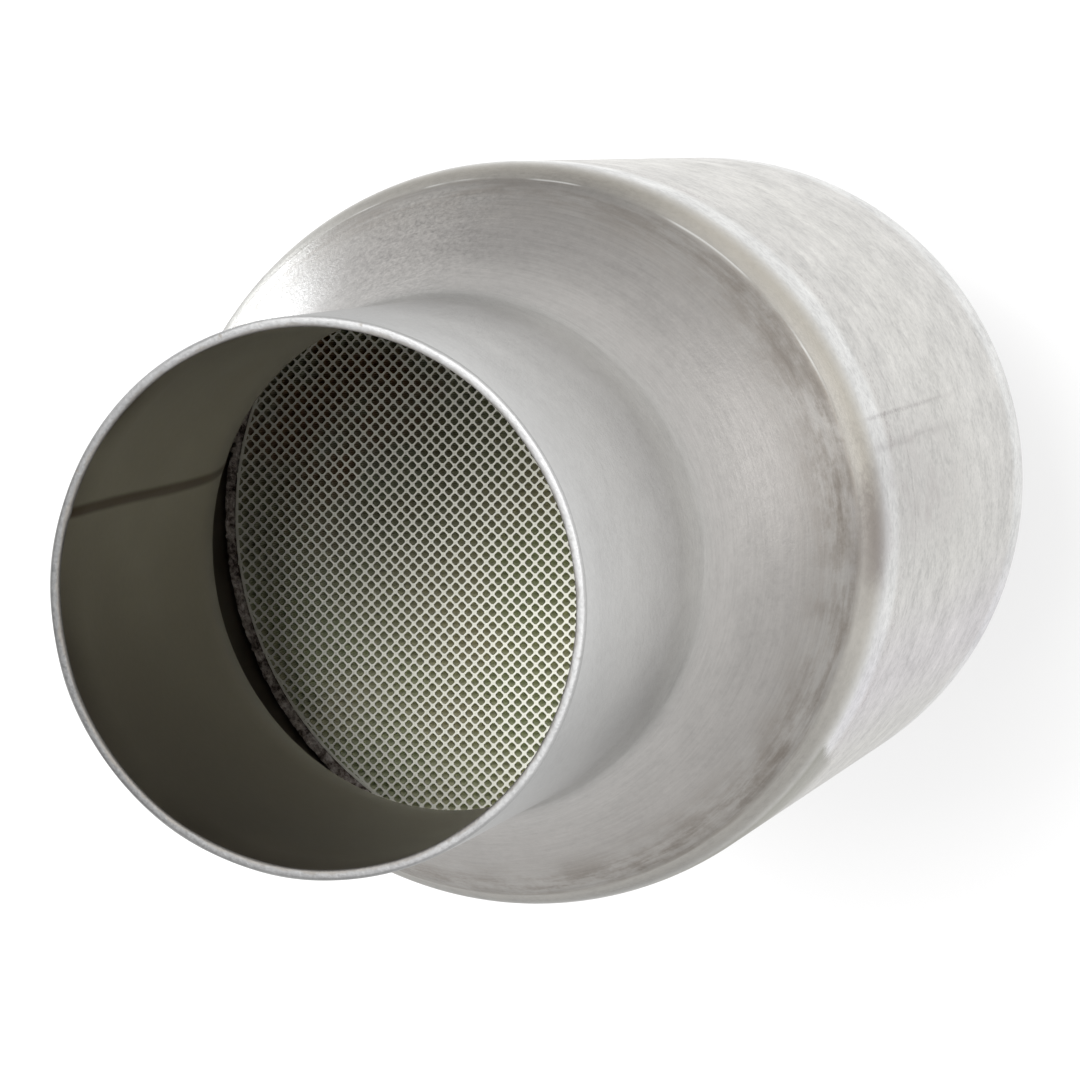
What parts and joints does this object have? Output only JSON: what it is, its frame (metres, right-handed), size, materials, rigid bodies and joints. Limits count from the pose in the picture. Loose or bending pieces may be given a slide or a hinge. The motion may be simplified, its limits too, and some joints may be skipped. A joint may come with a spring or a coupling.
{
  "type": "catalytic converter",
  "caption": "Round universal catalytic converter: a spun stainless shell with a cone and a neck at each end, holding a ceramic honeycomb brick in a fibre mat.",
  "frame": {"origin": "centre of the outlet neck's rim, which the part stands on", "axes": "+Z along the axis from the outlet rim to the inlet rim; +X and +Y along the two wall directions of the honeycomb"},
  "size_m": [0.1016, 0.1016, 0.273],
  "materials": {
    "shell_steel": "satin",
    "mat_fibre": "rough",
    "brick_ceramic": "matte"
  },
  "bodies": {
    "root": {"shell": "shell_steel", "support_mat": "mat_fibre", "ceramic_brick": "brick_ceramic"}
  },
  "joints": []
}
